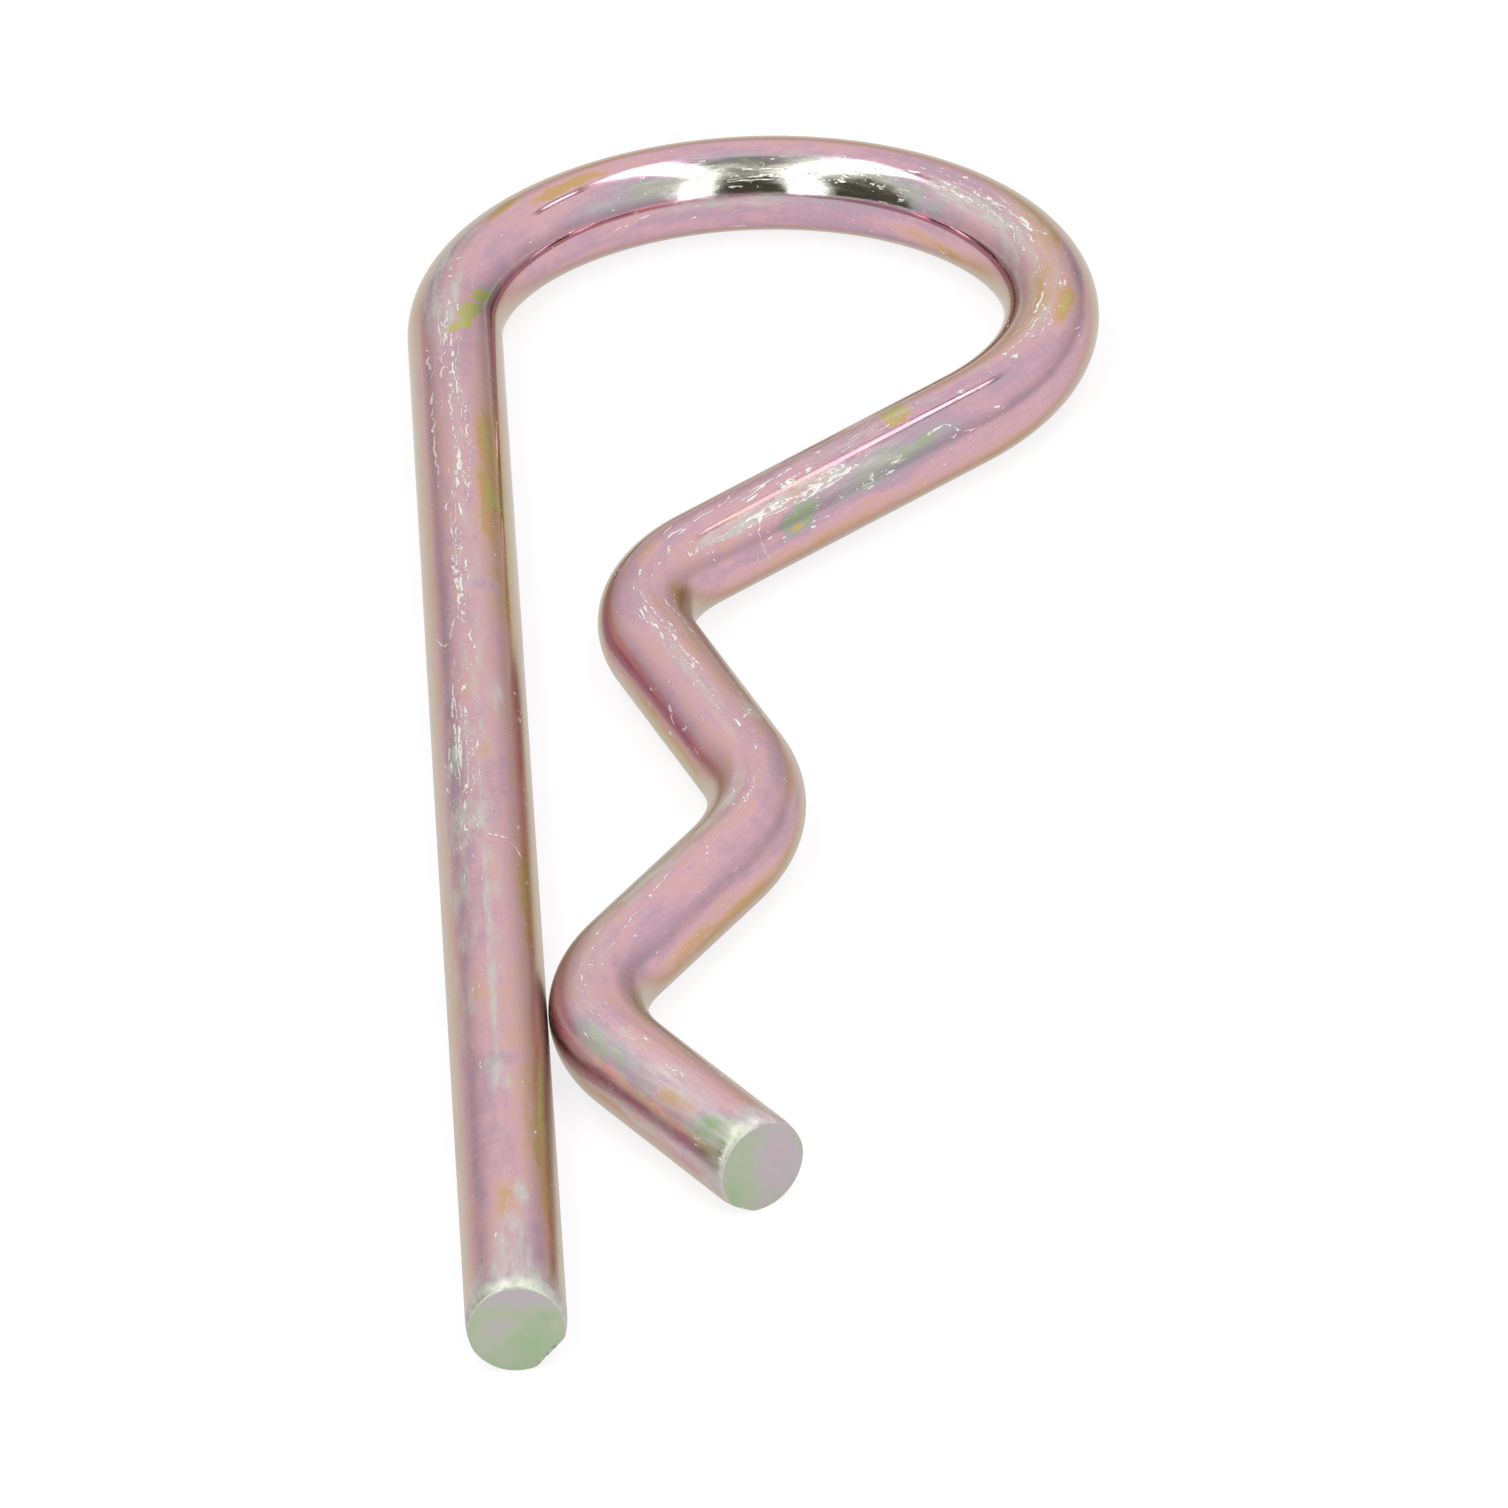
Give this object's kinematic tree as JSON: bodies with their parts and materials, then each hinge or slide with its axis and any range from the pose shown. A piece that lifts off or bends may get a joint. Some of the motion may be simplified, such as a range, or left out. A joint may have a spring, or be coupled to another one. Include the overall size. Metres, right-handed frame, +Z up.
{
  "type": "hitch r clip pin",
  "caption": "R-shaped spring clip pin of bent round wire: a straight leg, a round loop and a wavy leg with a flared lip, for locking a drilled shaft or hitch pin.",
  "frame": {"origin": "under the middle of the clip's bounding box, on the plane it lies on", "axes": "+Y along the straight leg towards the loop, +X from the straight leg towards the wavy leg, +Z up, square to the clip's plane"},
  "size_m": [0.029, 0.0946, 0.004],
  "materials": {
    "yellow_zinc": "spring steel wire, zinc plated with an iridescent yellow chromate film, glossy, scratched along its length"
  },
  "bodies": {
    "root": {"r_clip": "yellow_zinc"}
  },
  "joints": []
}
